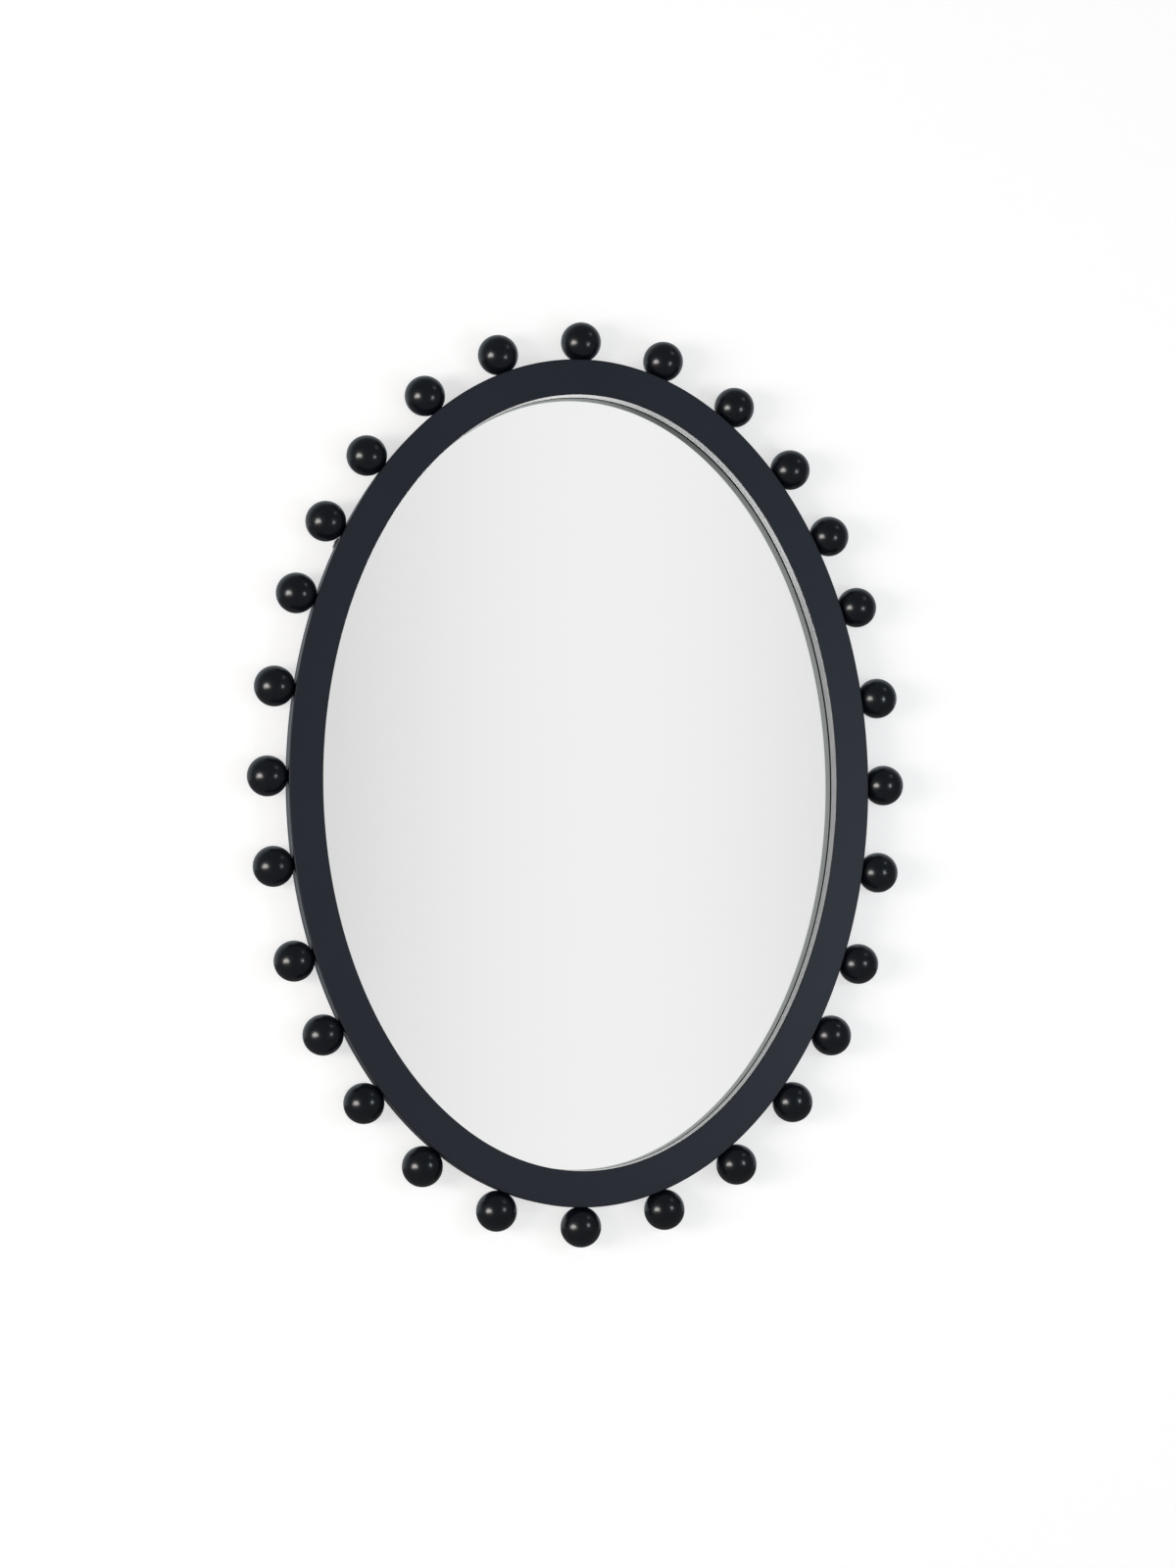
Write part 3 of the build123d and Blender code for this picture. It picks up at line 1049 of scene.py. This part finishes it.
def floor_material(settings):
    """Pale floor that keeps soft shadows and is dim in satin finishes, as the room is."""
    material = bpy.data.materials.new("studio_floor")
    graph = Graph(material)
    camera, glossy, through = graph.rays()
    paint = graph.add("ShaderNodeBsdfDiffuse", None, {"Color": tuple(settings.wall_white)})
    white = graph.both(paint, graph.glow(settings.wall_glow))
    bounce = graph.both(paint, graph.glow(settings.floor_bounce))
    floor = graph.either(camera.at_least(through), bounce, white)
    graph.surface(graph.either(glossy, floor, graph.glow(settings.room_shine)))
    return material


def surroundings(settings):
    """The room: white for the camera, dim in satin finishes, a panel and windows in the mirror."""
    world = bpy.data.worlds.new("studio_surroundings")
    graph = Graph(world)
    way = graph.add("ShaderNodeTexCoord").outputs["Generated"]
    parts = graph.add("ShaderNodeSeparateXYZ", None, {0: way})
    across, depth, height = (Value(graph, parts.outputs[axis]) for axis in ("X", "Y", "Z"))
    camera, glossy, through = graph.rays()
    after_glass = graph.value("ShaderNodeLightPath", "Transmission Depth").at_most(1)
    off_panel = across / (0 - depth).at_least(LEAST_FORWARD) - settings.panel_middle
    dimmed = (1 - off_panel * off_panel * settings.panel_fall).at_least(settings.panel_edge)
    panel = dimmed * settings.panel_white
    beside = (0 - off_panel).eased(*WINDOW_BESIDE_RANGE)
    under = (0 - height).eased(*WINDOW_UNDER_RANGE)
    level_view = panel + beside * (settings.window_beside - panel)
    mirrored = level_view + under * (settings.window_under - level_view)
    backward = depth.eased(*WALL_LIGHT_RANGE)
    ambient = settings.front_light + backward * (settings.wall_light - settings.front_light)
    wallward = depth.eased(*WALL_SHINE_RANGE)
    shine = settings.room_shine + wallward * (settings.wall_shine - settings.room_shine)
    shone = shine + after_glass * (settings.lip_shine - shine)
    plain = (1 - camera) * (1 - glossy) * (1 - through)
    strength = camera + through * mirrored + glossy * shone + plain * ambient
    seen = graph.mix(after_glass, tuple(settings.room_tint), tuple(settings.lip_tint))
    tint = graph.mix(glossy, (1, 1, 1), seen)
    light = graph.add("ShaderNodeBackground", None, {"Color": tint, "Strength": strength})
    graph.add("ShaderNodeOutputWorld", None, {"Surface": light.outputs[0]})
    bpy.context.scene.world = world


def way_to(azimuth, elevation):
    """The direction from the mirror at two angles. Azimuth nothing is straight in front."""
    level_part = math.cos(elevation)
    return Vector(
        (math.sin(azimuth) * level_part, -math.cos(azimuth) * level_part, math.sin(elevation))
    )


def looking(thing, place, aim):
    """Puts a lamp or a camera in its place and turns it to what it looks at."""
    thing.location = place
    thing.rotation_mode = "QUATERNION"
    thing.rotation_quaternion = (aim - place).to_track_quat("-Z", "Y")
    bpy.context.scene.collection.objects.link(thing)


def lamp(name, azimuth, elevation, distance, size, brightness, tint, shines=True):
    """A soft lamp at two angles in degrees. Its brightness is what a white surface gets of it."""
    data = bpy.data.lights.new(name, "AREA")
    data.shape = "ELLIPSE"
    data.size, data.size_y = size
    data.color = tint
    data.energy = math.pi**2 * distance**2 * brightness
    made = bpy.data.objects.new(name, data)
    made.visible_camera = False
    made.visible_glossy = shines
    made.visible_transmission = shines
    way = way_to(math.radians(azimuth), math.radians(elevation))
    looking(made, object_centre + way * distance, object_centre)


def studio_lamps():
    """A large warm lamp at the left, a small cool one at the right, a faint one and a fill."""
    lamp(
        "key_lamp",
        azimuth=-54.5,
        elevation=-8,
        distance=4.4,
        size=(2.5, 2.5),
        brightness=0.8,
        tint=(1.0, 0.965, 0.92),
    )
    lamp(
        "window_lamp",
        azimuth=33,
        elevation=-4,
        distance=1.7,
        size=(0.3, 0.42),
        brightness=0.11,
        tint=(0.8, 0.9, 1.0),
    )
    lamp(
        "corner_lamp",
        azimuth=54,
        elevation=43,
        distance=3.0,
        size=(0.5, 0.5),
        brightness=0.014,
        tint=(1.0, 1.0, 1.0),
    )
    lamp(
        "front_lamp",
        azimuth=8,
        elevation=-12,
        distance=4.0,
        size=(2.4, 2.4),
        brightness=0.15,
        tint=(1.0, 1.0, 1.0),
        shines=False,
    )


class OVALMIRROR_OT_studio(bpy.types.Operator):
    """Makes the wall, the floor, the lamps, the surroundings and the camera."""

    bl_idname = "oval_mirror.studio"
    bl_label = "Studio"

    def execute(self, context):
        settings = context.scene.mirror_studio
        half = settings.room_size / 2
        drop = -settings.floor_drop
        wall = [(-half, 0, drop), (half, 0, drop), (half, 0, half), (-half, 0, half)]
        near = [(-half, -half, drop), (half, -half, drop)]
        floor = near + [(half, half, drop), (-half, half, drop)]
        stage_sheet("studio_wall", wall, wall_material(settings))
        stage_sheet("studio_floor", floor, floor_material(settings))
        surroundings(settings)
        studio_lamps()
        way = way_to(settings.camera_azimuth, settings.camera_elevation)
        aim = object_centre + Vector((settings.aim_right, 0, -settings.aim_down))
        data = bpy.data.cameras.new("photo_camera")
        data.lens = settings.focal_length
        data.clip_end = FAR_CLIP
        camera = bpy.data.objects.new("photo_camera", data)
        looking(camera, object_centre + way * settings.camera_distance, aim)
        context.scene.camera = camera
        context.scene.view_settings.view_transform = "Standard"
        return {"FINISHED"}


OPERATORS = (
    OVALMIRROR_OT_frame_layers,
    OVALMIRROR_OT_glass,
    OVALMIRROR_OT_beads,
    OVALMIRROR_OT_backing,
    OVALMIRROR_OT_hangers,
    OVALMIRROR_OT_bumpers,
    OVALMIRROR_OT_studio,
)


class OVALMIRROR_PT_pieces(bpy.types.Panel):
    """Lists the pieces that can be made and the settings behind them."""

    bl_idname = "OVALMIRROR_PT_pieces"
    bl_label = "Beaded oval mirror"
    bl_space_type = "VIEW_3D"
    bl_region_type = "UI"
    bl_category = "Oval Mirror"

    def draw(self, context):
        for operator in OPERATORS:
            self.layout.operator(operator.bl_idname)
        for group_name in GROUPS:
            group = getattr(context.scene, group_name)
            box = self.layout.box()
            for setting in group.__annotations__:
                box.prop(group, setting)


def register():
    for group_name, group in GROUPS.items():
        bpy.utils.register_class(group)
        setattr(bpy.types.Scene, group_name, PointerProperty(type=group))
    for operator in OPERATORS:
        bpy.utils.register_class(operator)
    bpy.utils.register_class(OVALMIRROR_PT_pieces)


def unregister():
    bpy.utils.unregister_class(OVALMIRROR_PT_pieces)
    for operator in reversed(OPERATORS):
        bpy.utils.unregister_class(operator)
    for group_name, group in GROUPS.items():
        delattr(bpy.types.Scene, group_name)
        bpy.utils.unregister_class(group)


def main():
    register()
    bpy.ops.oval_mirror.frame_layers()
    bpy.ops.oval_mirror.glass()
    bpy.ops.oval_mirror.beads()
    bpy.ops.oval_mirror.backing()
    bpy.ops.oval_mirror.hangers()
    bpy.ops.oval_mirror.bumpers()
    bpy.ops.oval_mirror.studio()


if __name__ == "__main__":
    main()
